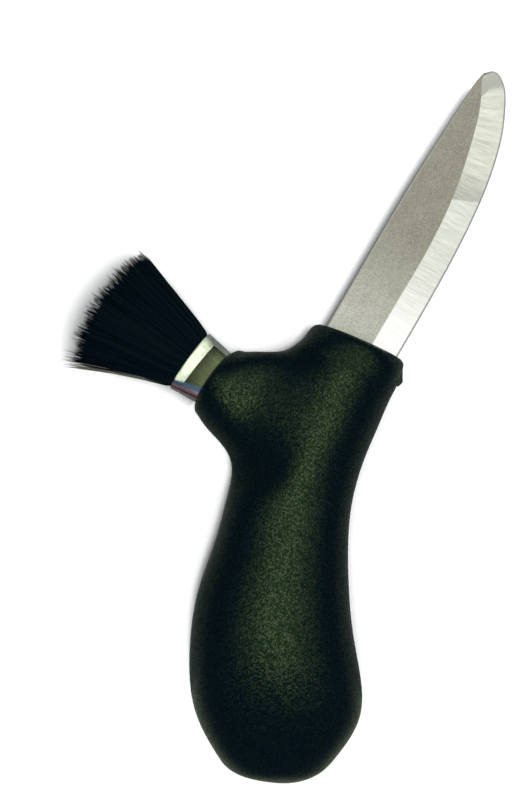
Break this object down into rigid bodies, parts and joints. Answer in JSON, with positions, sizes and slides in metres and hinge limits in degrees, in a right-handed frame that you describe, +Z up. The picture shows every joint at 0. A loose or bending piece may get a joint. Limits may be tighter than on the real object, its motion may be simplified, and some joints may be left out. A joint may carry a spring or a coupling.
{
  "type": "mushroom knife",
  "caption": "Short curved mushroom knife with a blunt rounded tip, a bulbous moulded grip and a round hair brush on a branch beside the blade.",
  "frame": {"origin": "on the table under the middle of the knife's bounding box, with the knife lying on its side", "axes": "+Z up from the table, +Y along the grip from its butt towards the blade, +X to the side of the cutting edge"},
  "size_m": [0.1, 0.1648, 0.028],
  "materials": {
    "blade_steel": "ground flats, brighter bevel with scratches across it",
    "handle_moulding": "greenish black with a fine moulded grain",
    "ferrule_metal": "polished",
    "resin": "set resin, hidden",
    "brush_hair": "black hair"
  },
  "bodies": {
    "root": {"blade": "blade_steel", "handle": "handle_moulding", "ferrule": "ferrule_metal", "resin_plug": "resin", "bristles": "brush_hair"}
  },
  "joints": []
}
